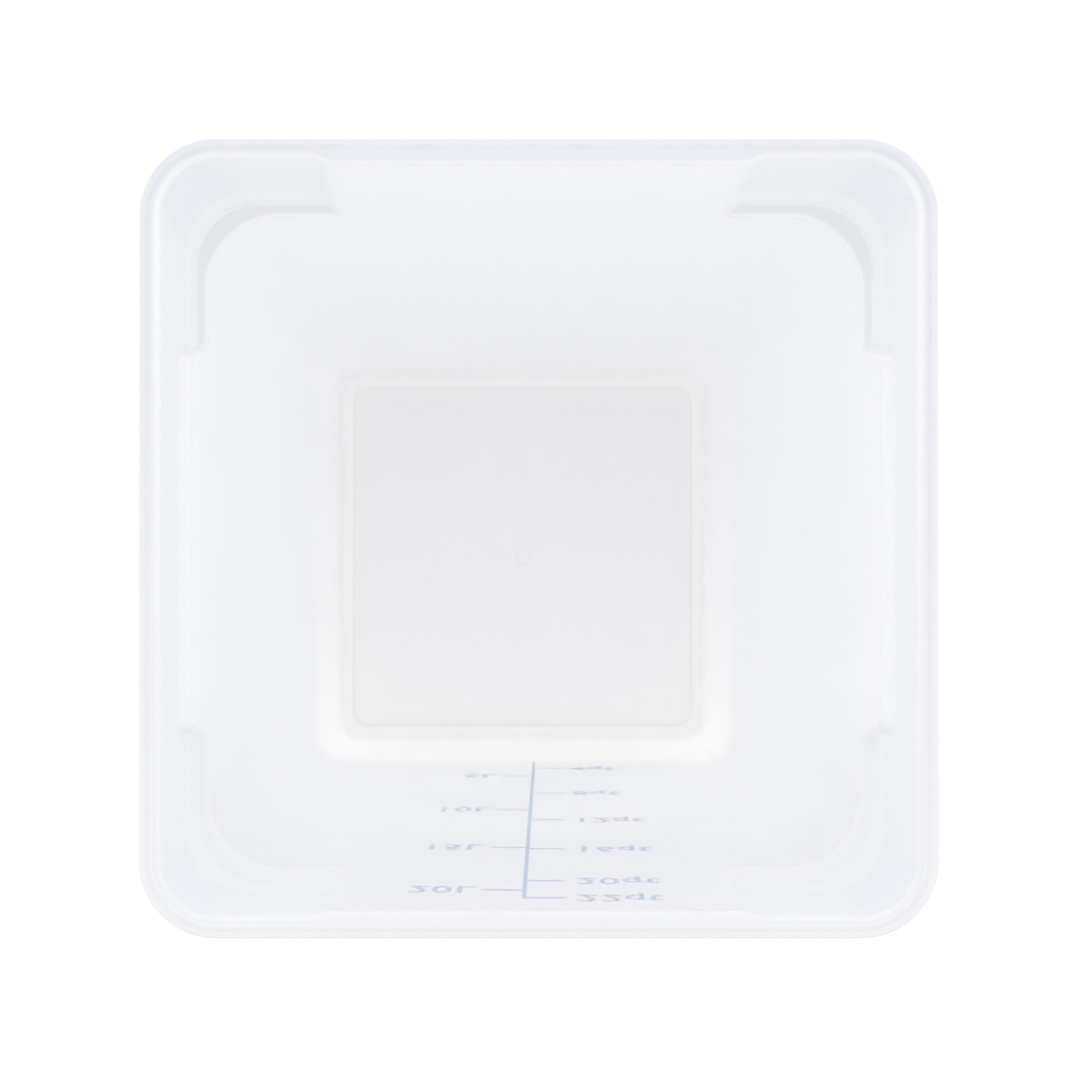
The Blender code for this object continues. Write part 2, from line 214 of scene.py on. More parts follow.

# %% [markdown]
# ## The milky plastic
#
# Natural polypropylene is neither clear nor white. Part of the light goes straight
# through the wall, so the print on the outside can be read from the inside, and the rest
# scatters inside it, which gives the milky look. A Principled shader with a pale colour
# does the milk and its Alpha lets the rest through. A wall has two faces, so with an
# Alpha of 0.43 on each face about a third of what is behind the wall is seen. The rim is
# thick and has a skirt below it, so it hides more, and the foot of the front wall less.
#
# Moulded plastic is never one even tone, and here many tones also carry painted light
# and shade. Slow clouds of random tone, like those the melt leaves as it fills the mould,
# gather low on the walls, and on the front wall their tone is painted lighter, a painted
# light. The collar is painted darker and greyer than the walls, a painted shade that is
# bluest in its corners and lighter towards its foot. Rounded edges above the ledge carry
# a painted highlight, and the level ledges and rim a bluer painted shade; the mouth's
# rounding is painted lighter at the back and darker at the front. The floor and the
# lowest part of the walls are painted lighter and more neutral, a painted light, with a
# painted shade in a thin darker ring where the foot stands on the board. Most tones
# change slowly from the back to the front, so they have a back and a front value, a
# painted light and shade, and a painted shade darkens the front wall just under its rim.

# %% Tones of the plastic
# Wall and cloud tones: the back and front values grade a painted light and shade from back to
# front.
WALL_BACK_TONE = (0.844, 0.853, 0.887)
WALL_FRONT_TONE = (0.830, 0.838, 0.878)
CLOUD_BACK_TONE = (0.842, 0.851, 0.884)
CLOUD_FRONT_TONE_AND_LIGHT = (0.880, 0.887, 0.914)
# Painted shade on the front wall just under its rim.
BRIM_FRONT_PAINTED_SHADE = (0.715, 0.723, 0.765)
# Painted light: the lowest part of the walls is lighter, most of all at the front.
LOW_BACK_PAINTED_LIGHT = (0.865, 0.870, 0.890)
LOW_FRONT_PAINTED_LIGHT = (0.980, 0.980, 0.984)
# Floor and its slope: a neutral tone, painted lighter than the walls, a painted light.
FLOOR_TONE_AND_LIGHT = (0.955, 0.955, 0.962)
SLOPE_TONE_AND_LIGHT = (0.945, 0.945, 0.952)
# Painted shade: a thin darker ring where the foot stands on the board.
FOOT_PAINTED_SHADE = (0.870, 0.870, 0.880)
SCRATCH_TONE = (0.97, 0.97, 0.97)
# Collar: painted shade, darkest and bluest in its corners, lighter towards its foot.
COLLAR_PAINTED_SHADE = (0.755, 0.768, 0.808)
COLLAR_CORNER_PAINTED_SHADE = (0.720, 0.745, 0.805)
COLLAR_FOOT_PAINTED_SHADE = (0.795, 0.808, 0.843)
# Painted highlight on rounded edges above the ledge.
ROUNDED_PAINTED_HIGHLIGHT = (0.808, 0.815, 0.838)
# Painted shade on the level ledges, darker at the back.
LEDGE_BACK_PAINTED_SHADE = (0.672, 0.710, 0.752)
LEDGE_FRONT_PAINTED_SHADE = (0.790, 0.808, 0.840)
# Rim: painted shade on its level top, darker at the back; its rounded mouth is painted lighter at
# the back and darker at the front.
RIM_BACK_PAINTED_SHADE = (0.720, 0.738, 0.788)
RIM_FRONT_PAINTED_SHADE = (0.803, 0.810, 0.830)
MOUTH_BACK_PAINTED_LIGHT = (0.826, 0.834, 0.856)
MOUTH_FRONT_PAINTED_SHADE = (0.755, 0.762, 0.778)
PLASTIC_ALPHA = 0.43
RIM_ALPHA = 0.80
LOW_ALPHA = 0.32
PLASTIC_IOR = 1.49

print("share of the background seen through a wall:", round((1 - PLASTIC_ALPHA) ** 2, 2))


# %% Mixing two tones
def blend_tone(tree, share, first, second):
    """Mixes two colours; each one is a socket or a plain tone."""
    def whole(tone):
        return tone + (1,) if isinstance(tone, tuple) else tone
    inputs = {0: share, 6: whole(first), 7: whole(second)}
    return tree.add("ShaderNodeMix", inputs, data_type="RGBA").outputs[2]


# %% [markdown]
# Three values stored on the mesh tell the material where it is: level is 1 on a level
# face and 0 on an upright one, collar is 1 on the thick collar, and foot is 1 on the
# ring that the container stands on. Heights and the place from back to front tell the
# rest, and so does the way a face is turned: in a corner its normal has both an X and a
# Y part. Each pair below says where a share starts at 0 and where it reaches 1.

# %% Places on the moulding
BACK_TO_FRONT = (0.13, -0.12)
LOW_HEIGHTS = (0.090, 0.045)
FLOOR_HEIGHTS = (0.010, 0.0)
LEDGE_HEIGHTS = (0.310, 0.320)
BRIM_HEIGHTS = (0.190, 0.380)
BRIM_FRONT = (0.75, 1.00)
RIM_HEIGHTS = (0.3975, 0.3992)
CREASE_HEIGHTS = (0.353, 0.347)
CORNER_TURN = (0.05, 0.20)
GROUND_LEVELS = (0.85, 0.95)
FLOOR_LEVELS = (0.970, 0.995)
ROUNDED_LEVELS = (0.15, 0.45)
FLAT_LEVELS = (0.80, 0.94)
RIM_TOP_LEVELS = (0.90, 0.98)


def plastic_places(tree, place):
    """Shares that tell which part of the moulding a point belongs to."""
    along = tree.add("ShaderNodeSeparateXYZ", {0: place}).outputs
    height = along["Z"]
    at = {name: tree.add("ShaderNodeAttribute", attribute_name=name).outputs["Fac"]
          for name in ("level", "collar", "foot")}
    facing = tree.add("ShaderNodeNewGeometry").outputs["Normal"]
    facing = tree.add("ShaderNodeSeparateXYZ", {0: facing}).outputs
    turned = tree.math("ABSOLUTE", tree.math("MULTIPLY", facing["X"], facing["Y"]))
    high = tree.ramp(height, *LEDGE_HEIGHTS)
    at["height"] = height
    at["front"] = tree.ramp(along["Y"], *BACK_TO_FRONT)
    at["low"] = tree.ramp(height, *LOW_HEIGHTS, kind="SMOOTHSTEP")
    at["floor"] = tree.ramp(height, *FLOOR_HEIGHTS)
    at["ground"] = tree.math("MULTIPLY", at["floor"], tree.ramp(at["level"], *GROUND_LEVELS))
    at["brim"] = tree.math("MULTIPLY", tree.ramp(height, *BRIM_HEIGHTS),
                           tree.ramp(at["front"], *BRIM_FRONT))
    at["corner"] = tree.ramp(turned, *CORNER_TURN)
    at["crease"] = tree.ramp(height, *CREASE_HEIGHTS)
    at["rounded"] = tree.math("MULTIPLY", tree.ramp(at["level"], *ROUNDED_LEVELS), high)
    at["flat"] = tree.math("MULTIPLY", tree.ramp(at["level"], *FLAT_LEVELS), high)
    at["rim"] = tree.ramp(height, *RIM_HEIGHTS)
    at["rim_top"] = tree.ramp(at["level"], *RIM_TOP_LEVELS)
    return at


# %% Tone of the plastic
CLOUD_RANGE = (0.88, 0.60)
SCRATCH_STRENGTH = 0.35


def wall_tone_and_light(tree, at, flow):
    """Walls with their clouds and graded painted light and shade, the painted shade below the front
    rim, and the painted light on the foot of the walls.
    """
    def graded(back, front):
        return blend_tone(tree, at["front"], back, front)
    # Random clouds that gather low down; on the front wall their tone is painted lighter, a painted
    # light.
    cloud_and_low_light = tree.ramp(tree.math("ADD", flow, at["height"]), *CLOUD_RANGE)
    tone = blend_tone(tree, cloud_and_low_light, graded(WALL_BACK_TONE, WALL_FRONT_TONE),
                      graded(CLOUD_BACK_TONE, CLOUD_FRONT_TONE_AND_LIGHT))
    # Painted shade under the front rim.
    tone = blend_tone(tree, at["brim"], tone, BRIM_FRONT_PAINTED_SHADE)
    # Painted light on the floor, its slope and the lowest part of the walls.
    level_floor = tree.ramp(at["level"], *FLOOR_LEVELS)
    ground = blend_tone(tree, level_floor, SLOPE_TONE_AND_LIGHT, FLOOR_TONE_AND_LIGHT)
    lower = blend_tone(tree, at["ground"], graded(LOW_BACK_PAINTED_LIGHT, LOW_FRONT_PAINTED_LIGHT), ground)
    return blend_tone(tree, at["low"], tone, lower)


def plastic_tone_and_light(tree, at, flow, lines):
    """The walls' tone, then painted shade on collar, ledges, rim and foot, painted edge highlights
    and scratches laid over it.
    """
    def graded(back, front):
        return blend_tone(tree, at["front"], back, front)
    # Painted shade on the collar.
    collar = blend_tone(tree, at["corner"], COLLAR_PAINTED_SHADE, COLLAR_CORNER_PAINTED_SHADE)
    collar = blend_tone(tree, at["crease"], collar, COLLAR_FOOT_PAINTED_SHADE)
    # Painted light and shade on the rim and its mouth.
    rim = blend_tone(tree, at["rim_top"], graded(MOUTH_BACK_PAINTED_LIGHT, MOUTH_FRONT_PAINTED_SHADE),
                     graded(RIM_BACK_PAINTED_SHADE, RIM_FRONT_PAINTED_SHADE))
    tone = wall_tone_and_light(tree, at, flow)
    tone = blend_tone(tree, at["collar"], tone, collar)
    # Painted highlight on rounded edges.
    tone = blend_tone(tree, at["rounded"], tone, ROUNDED_PAINTED_HIGHLIGHT)
    # Painted shade on level faces that look up.
    tone = blend_tone(tree, at["flat"], tone, graded(LEDGE_BACK_PAINTED_SHADE, LEDGE_FRONT_PAINTED_SHADE))
    tone = blend_tone(tree, at["rim"], tone, rim)
    # Painted shade on the foot ring.
    tone = blend_tone(tree, at["foot"], tone, FOOT_PAINTED_SHADE)
    return blend_tone(tree, tree.math("MULTIPLY", lines, SCRATCH_STRENGTH), tone, SCRATCH_TONE)


# %% [markdown]
# The surface is satin. A roughness near 0.3 spreads the mirror images that a steep wall
# would show otherwise, and grain and slow waves in the mould's surface blur and bend
# them a little more. Noise stays mostly between 0.3 and 0.7, so that range is spread
# over the roughness. The floor carries the fine scratches of scoops. A scratch is made
# from noise that is drawn out along one direction and cut to its highest crests.

# %% Surface of the plastic
FLOW_SCALE = 11.0
GRAIN_SCALE = 1300.0
WAVE_SCALE = 26.0
NOISE_RANGE = (0.3, 0.7)
ROUGHNESS = (0.28, 0.32)
LOW_ROUGHER = 0.04
SCRATCH_ROUGHER = 0.15
FLOW_ROUGHER = 0.04
WAVE_BUMP = {"Strength": 0.08, "Distance": 0.00010}
GRAIN_BUMP = {"Strength": 0.05, "Distance": 0.00001}
SCRATCH_STRETCH = (9.0, 420.0, 40.0)
SCRATCH_CRESTS = (0.68, 0.76)
SCRATCH_TURNS = ((0.5, 0.0), (-0.9, 3.0))


def pattern(tree, place, scale, detail):
    inputs = {"Vector": place, "Scale": scale, "Detail": detail}
    return tree.add("ShaderNodeTexNoise", inputs).outputs["Fac"]


def scratches(tree, place, turn, seed):
    """Fine lines in one direction."""
    inputs = {"Vector": place, "Rotation": (0, 0, turn), "Location": (seed, seed, 0),
              "Scale": SCRATCH_STRETCH}
    drawn_out = tree.add("ShaderNodeMapping", inputs).outputs[0]
    return tree.ramp(pattern(tree, drawn_out, 1.0, 1.0), *SCRATCH_CRESTS)


def plastic_roughness(tree, at, grain, flow, lines):
    rough = tree.ramp(grain, *NOISE_RANGE, *ROUGHNESS)
    for share, more in ((at["low"], LOW_ROUGHER), (lines, SCRATCH_ROUGHER), (flow, FLOW_ROUGHER)):
        rough = tree.math("MULTIPLY_ADD", share, more, rough)
    return rough


def plastic_alpha(tree, at):
    """Clearer at the foot of the front wall, denser on the rim."""
    clearer = tree.math("MULTIPLY", at["low"], tree.math("MULTIPLY", at["front"], at["front"]))
    clearer = tree.math("MULTIPLY", clearer, tree.math("SUBTRACT", 1.0, at["ground"]))
    alpha = tree.either(clearer, PLASTIC_ALPHA, LOW_ALPHA)
    return tree.either(at["rim"], alpha, RIM_ALPHA)


# %% Make the plastic
def plastic_material():
    finish = bpy.data.materials.new("milky polypropylene")
    finish.use_nodes = True
    tree = Tree(finish.node_tree)
    shader = finish.node_tree.nodes["Principled BSDF"]
    place = tree.add("ShaderNodeTexCoord").outputs["Object"]
    at = plastic_places(tree, place)
    flow = pattern(tree, place, FLOW_SCALE, 2.0)
    grain = pattern(tree, place, GRAIN_SCALE, 0.0)
    waves = pattern(tree, place, WAVE_SCALE, 0.0)
    lines = tree.math("MAXIMUM", *(scratches(tree, place, *turn) for turn in SCRATCH_TURNS))
    lines = tree.math("MULTIPLY", lines, at["floor"])
    bump = tree.add("ShaderNodeBump", {"Height": waves, **WAVE_BUMP}).outputs[0]
    bump = tree.add("ShaderNodeBump", {"Height": grain, "Normal": bump, **GRAIN_BUMP}).outputs[0]
    for label, value in (("Base Color", plastic_tone_and_light(tree, at, flow, lines)),
                         ("Roughness", plastic_roughness(tree, at, grain, flow, lines)),
                         ("Normal", bump), ("Alpha", plastic_alpha(tree, at))):
        finish.node_tree.links.new(value, shader.inputs[label])
    shader.inputs["IOR"].default_value = PLASTIC_IOR
    return finish


plastic = plastic_material()
print("made", plastic.name, "from", len(plastic.node_tree.nodes), "nodes")

# %% [markdown]
# ## The moulding as one rule
#
# The whole body follows one rule, so Geometry Nodes build it. Think of three templates
# cut from card: one for the wall at a corner, one through a grip and one through a plain
# panel. Each is a section of the wall from the middle of the floor up over the rim and
# down the outside to the middle of the floor again. The tree walks a grid round a
# quarter of the square, reads the template that belongs to each place, and blends from
# one to the next along a short length. Two mirrorings then make the quarter whole.
#
# Doing it by hand as a subdivision surface would also work, but a change to one size
# would mean moving hundreds of points. Here it is one number.

# %% Sizes of the moulding
RIM_HALF = 0.1435
HEIGHT = 0.400
RIM_CORNER = 0.028
WALL = 0.0025
WALL_INSET = 0.0097
TAPER = 0.027
WALL_TOP = RIM_HALF - WALL_INSET
WALL_FLOOR = WALL_TOP - TAPER
WALL_SLOPE = TAPER / (HEIGHT - WALL)
LEDGE = 0.069
LEDGE_FALL = 0.0014
COLLAR_INSET = 0.0078
COLLAR_TAPER = 0.0014
COLLAR_TOP = RIM_HALF - COLLAR_INSET
COLLAR_SLOPE = COLLAR_TAPER / LEDGE
COLLAR_CORNER = 0.0246
LEDGE_CORNER = 0.028
FLOOR_CORNER = 0.012
PANEL_CORNER = 0.009
GRIP_LEDGE = 0.034
SKIRT = 0.009
SKIRT_THICKNESS = 0.0022
RIM_THICKNESS = 0.003
FLOOR_FILLET = 0.0039
FOOT_WIDTH = 0.0049
FOOT_SLOPE_WIDTH = 0.0087
FOOT_OUTER = WALL_FLOOR - FLOOR_FILLET
FOOT_INNER = FOOT_OUTER - FOOT_WIDTH
PANEL_HALF = FOOT_INNER - FOOT_SLOPE_WIDTH
FLOOR_RISE = 0.0022
HOLD = 0.0008

print("half width of the wall:", round(WALL_FLOOR, 4), "m at the floor,",
      round(WALL_TOP, 4), "m at the rim")


# %% Half widths down the wall
def wall_half(depth):
    return WALL_TOP - WALL_SLOPE * depth


def collar_half(depth):
    return COLLAR_TOP - COLLAR_SLOPE * depth


# %% [markdown]
# A template is a list of corners, each with the radius of its rounding and the number
# of points in that rounding. Between two roundings a pair of holding points, just under
# a millimetre from the curves, keeps the long flat faces flat when they are shaded
# smooth. A run whose shape differs between the templates gets even steps as well, so
# that the blend from one to the other has no long twisted faces. The three templates
# have the same number of points, so point twelve is the same place in each of them.


# %% Template maker
def arc(before, corner, after, radius, count):
    """Points of a rounding between two straight runs."""
    middle = Vector(corner)
    back = (Vector(before) - middle).normalized()
    ahead = (Vector(after) - middle).normalized()
    half_angle = back.angle(ahead) / 2
    centre = middle + (back + ahead).normalized() * (radius / math.sin(half_angle))
    start = middle + back * (radius / math.tan(half_angle)) - centre
    end = middle + ahead * (radius / math.tan(half_angle)) - centre
    arms = [start.slerp(end, index / (count - 1)) for index in range(count)]
    return [tuple(centre + arm.normalized() * radius) for arm in arms]


def template(corners):
    """Points along a section; a corner is (half, depth, radius, count, points after).

    The points after a corner are a holding pair with even steps between the two.
    """
    groups = []
    for index in range(1, len(corners) - 1):
        half, depth, radius, count, between = corners[index]
        points = [(half, depth)]
        if radius:
            before, after = corners[index - 1][:2], corners[index + 1][:2]
            points = arc(before, (half, depth), after, radius, count)
        groups.append((points, between))
    line = []
    for number, (points, between) in enumerate(groups):
        line += points
        if between:
            start, end = Vector(points[-1]), Vector(groups[number + 1][0][0])
            step = (end - start).normalized() * HOLD
            start, end = start + step, end - step
            line += [tuple(start.lerp(end, place / (between - 1))) for place in range(between)]
    return line


# %% Floor part of every template
RING_ROUND = 0.006
PANEL_EDGE = 0.002
ROUND_FIELD = 0.030
GATE_SECTION = ((ROUND_FIELD, 0), (0.0050, 0), (0.0042, 0.0001), (0.0038, 0.0004),
                (0.0030, 0.0005), (0, 0.0005))


def floor_corners(skin):
    """Fillet, foot ring and raised panel."""
    depth = HEIGHT - WALL + skin
    level = depth - FLOOR_RISE
    return [(WALL_FLOOR + skin, depth, FLOOR_FILLET + skin, 9, 2),
            (FOOT_INNER, depth, RING_ROUND, 4, 2),
            (PANEL_HALF, level, RING_ROUND, 4, 0),
            (PANEL_HALF - PANEL_EDGE, level, 0, 1, 0),
            (ROUND_FIELD, level, 0, 1, 0),
            (0, level)]


def with_gate(line):
    """Adds the small round mark of the mould's gate in the middle of the floor."""
    level = line[-1][1]
    return line[:-1] + [(radius, level - rise) for radius, rise in GATE_SECTION]


print("floor panel", 2 * PANEL_HALF, "m square, gate mark in a round field")

# %% Templates of the inner face
MOUTH_POINTS = 9
COLLAR_STEPS = 10
MOUTH_START = (RIM_HALF, 0)
MOUTH_ROUND = 0.0037
PANEL_MOUTH_ROUND = 0.0023
LEDGE_EDGE_ROUND = 0.0012
LEDGE_FOOT_ROUND = 0.0038
CHAMFER = (0.0035, 0.0060)
CHAMFER_ROUND = 0.0005
STEP = (0.0012, 0.0006)
STEP_ROUND = 0.0003
STEP_FOOT = 0.0144


def corner_inside():
    """Collar, ledge and wall at a corner."""
    ledge_end = LEDGE + LEDGE_FALL
    return with_gate(template([MOUTH_START,
                               (COLLAR_TOP, 0, MOUTH_ROUND, MOUTH_POINTS, COLLAR_STEPS),
                               (collar_half(LEDGE), LEDGE, LEDGE_EDGE_ROUND, 5, 2),
                               (wall_half(ledge_end), ledge_end, LEDGE_FOOT_ROUND, 9, 2),
                               *floor_corners(0)]))


def grip_inside():
    """Short collar, chamfer, small step and wall through a grip."""
    start = collar_half(GRIP_LEDGE)
    chamfer = (start - CHAMFER[0], GRIP_LEDGE + CHAMFER[1])
    step = (chamfer[0] - STEP[0], chamfer[1] + STEP[1])
    foot = step[1] + STEP_FOOT
    return with_gate(template([MOUTH_START,
                               (COLLAR_TOP, 0, MOUTH_ROUND, MOUTH_POINTS, COLLAR_STEPS),
                               (start, GRIP_LEDGE, LEDGE_EDGE_ROUND, 5, 2),
                               (*chamfer, CHAMFER_ROUND, 4, 0),
                               (*step, STEP_ROUND, 4, 0),
                               (wall_half(foot), foot, 0, 1, 2),
                               *floor_corners(0)]))


def panel_inside():
    """Plain wall: the corner's template, kept to the wall's own face."""
    bottom = HEIGHT - WALL
    mouth = template([MOUTH_START,
                      (WALL_TOP, 0, PANEL_MOUTH_ROUND, MOUTH_POINTS, 2),
                      (wall_half(bottom), bottom, 0, 1, 0),
                      (0, bottom)])[:MOUTH_POINTS + 1]
    below = corner_inside()[len(mouth):]
    return mouth + [(min(half, wall_half(depth)), depth) for half, depth in below]


# %% Templates of the rim and the outer face
OUTER_TOP = collar_half(RIM_THICKNESS) + WALL
SKIRT_INNER = RIM_HALF - SKIRT_THICKNESS
RIM_EDGE_ROUND = 0.0010
SKIRT_ROUND = 0.0006
OUTER_LEDGE_ROUND = 0.0037
OUTER_FOOT_ROUND = 0.0006


def rim():
    """The rim's outer edge and its skirt, the same in every section."""
    return template([(0, 0),
                     (RIM_HALF, 0, RIM_EDGE_ROUND, 5, 2),
                     (RIM_HALF, SKIRT, SKIRT_ROUND, 3, 2),
                     (SKIRT_INNER, SKIRT, SKIRT_ROUND, 3, 2),
                     (SKIRT_INNER, RIM_THICKNESS, 0, 1, 0),
                     (OUTER_TOP, RIM_THICKNESS)])


def outside_with_ledge(ledge):
    """Outer face: one wall thickness outside the inner one."""
    start = ledge + WALL
    end = start + (LEDGE_FALL if ledge == LEDGE else CHAMFER[1])
    return with_gate(template([(OUTER_TOP, 0),
                               (OUTER_TOP, RIM_THICKNESS, 0, 1, COLLAR_STEPS),
                               (collar_half(start) + WALL, start, OUTER_LEDGE_ROUND, 5, 2),
                               (wall_half(end) + WALL, end, OUTER_FOOT_ROUND, 5, 2),
                               *floor_corners(WALL)]))


def panel_outside():
    return [(min(half, wall_half(depth) + WALL), depth)
            for half, depth in outside_with_ledge(LEDGE)]


inner = {"corner": corner_inside(), "grip": grip_inside(), "panel": panel_inside()}
outer = {"corner": outside_with_ledge(LEDGE), "grip": outside_with_ledge(GRIP_LEDGE),
         "panel": panel_outside()}
sections = {name: inner[name][::-1] + rim() + outer[name] for name in inner}
print("points in each template:", {name: len(line) for name, line in sections.items()})

# %% [markdown]
# The radius of the square's corners also changes down the wall: tight round the collar,
# wide just below its ledge, and tight again at the floor. That is what makes the ledge
# broadest in the corner. The corner's template carries this radius for every point. With
# it go the small inward shift that keeps the wall one thickness all round a grip, and
# the share by which the floor's narrower rings draw in.


# %% Corner radius down the wall
def corner_radius(half, depth, skin):
    if depth <= SKIRT:
        return RIM_CORNER - (RIM_HALF - half)
    ledge_start = LEDGE + skin
    ledge_end = ledge_start + LEDGE_FALL
    down = min((depth - SKIRT) / (ledge_start - SKIRT), 1)
    top = RIM_CORNER - (RIM_HALF - COLLAR_TOP)
    collar = top + (COLLAR_CORNER - top) * down
    down = min(max((depth - ledge_end) / (HEIGHT - WALL - ledge_end), 0), 1)
    wall = LEDGE_CORNER + (FLOOR_CORNER - LEDGE_CORNER) * down
    ledge = collar_half(ledge_start) - wall_half(ledge_end)
    across = min(max((collar_half(ledge_start) + skin - half) / ledge, 0), 1)
    fillet = max(wall_half(depth) + skin - half, 0)
    return collar + (wall - collar) * across + skin - fillet


def radius_down(line, skin):
    """Radius for every point of a template; the floor's panel has its own."""
    return [corner_radius(half, depth, skin) if half >= FOOT_OUTER else PANEL_CORNER
            for half, depth in line]


radii = (radius_down(inner["corner"], 0)[::-1] + radius_down(rim(), WALL)
         + radius_down(outer["corner"], WALL))
shifts = [0.0] * len(inner["corner"]) + [WALL] * (len(rim()) + len(outer["corner"]))
spreads = [min(half / FOOT_OUTER, 1.0) for half, depth in sections["corner"]]
print("corner radius from", round(min(radii), 4), "to", round(max(radii), 4))


# %% Marks for the material
COLLAR_END = LEDGE + 0.0032
COLLAR_FADE = 0.0030
FOOT_FADE_OUT = 0.0015
FOOT_FADE_IN = 0.0010


def collar_mark(depth):
    """1 down to the ledge, then fading out over its rounding."""
    return min(max((COLLAR_END - depth) / COLLAR_FADE, 0.0), 1.0)


# Marks the foot ring, where the material paints a thin ring of shade.
def foot_mark(half, depth):
    """1 on the flat of the foot ring, fading out to both sides of it."""
    past = max((half - FOOT_OUTER) / FOOT_FADE_OUT,
               (FOOT_INNER - half) / FOOT_FADE_IN, 0.0)
    return math.exp(-past * past) if depth > LEDGE else 0.0


foot = [foot_mark(half, depth) for half, depth in sections["corner"]]
collar = [collar_mark(depth) for half, depth in sections["corner"]]
print("rows on the collar:", sum(mark > 0 for mark in collar))


# %% Card templates as meshes
def card(name):
    """A template as a mesh of loose points: x is the half width and y the depth."""
    mesh = bpy.data.meshes.new(name)
    mesh.from_pydata([(half, depth, 0) for half, depth in sections[name]], [], [])
    thing = bpy.data.objects.new(name, mesh)
    bpy.context.scene.collection.objects.link(thing)
    return thing


cards = {name: card(name) for name in sections}
row_values = {"corner_radius": radii, "inward_shift": shifts, "spread": spreads,
              "foot": foot, "collar": collar}
for name, values in row_values.items():
    cards["corner"].data.attributes.new(name, "FLOAT", "POINT").data.foreach_set("value", values)
print("cards:", sorted(cards))


# %% [markdown]
# The tree itself follows. Its grid has one row for each point of a template and one
# column for each step round the quarter: from the middle of a grip, through the blend,
# round the corner's arc, and through the second blend to the middle of a panel.


# %% Group with named sizes
def new_group(name, sizes):
    """An empty Geometry Nodes group with named inputs, and its first nodes."""
    group = bpy.data.node_groups.new(name, "GeometryNodeTree")
    group.interface.new_socket("Geometry", in_out="INPUT", socket_type="NodeSocketGeometry")
    for label, kind in sizes:
        group.interface.new_socket(label, in_out="INPUT", socket_type="NodeSocket" + kind)
    group.interface.new_socket("Geometry", in_out="OUTPUT", socket_type="NodeSocketGeometry")
    tree = Tree(group)
    return group, tree, tree.add("NodeGroupInput").outputs


def run_group(thing, group, values):
    """Gives an object the group with its sizes, and returns the result as a plain mesh."""
    modifier = thing.modifiers.new(group.name, "NODES")
    modifier.node_group = group
    sockets = {item.name: item.identifier for item in group.interface.items_tree
               if item.in_out == "INPUT"}
    for label, value in values.items():
        modifier[sockets[label]] = value
    evaluated = thing.evaluated_get(bpy.context.evaluated_depsgraph_get())
    mesh = bpy.data.meshes.new_from_object(evaluated)
    thing.modifiers.remove(modifier)
    return mesh


# %% The moulding's tree
MERGE_DISTANCE = 0.000005
ROUND_MARGIN = 0.0001


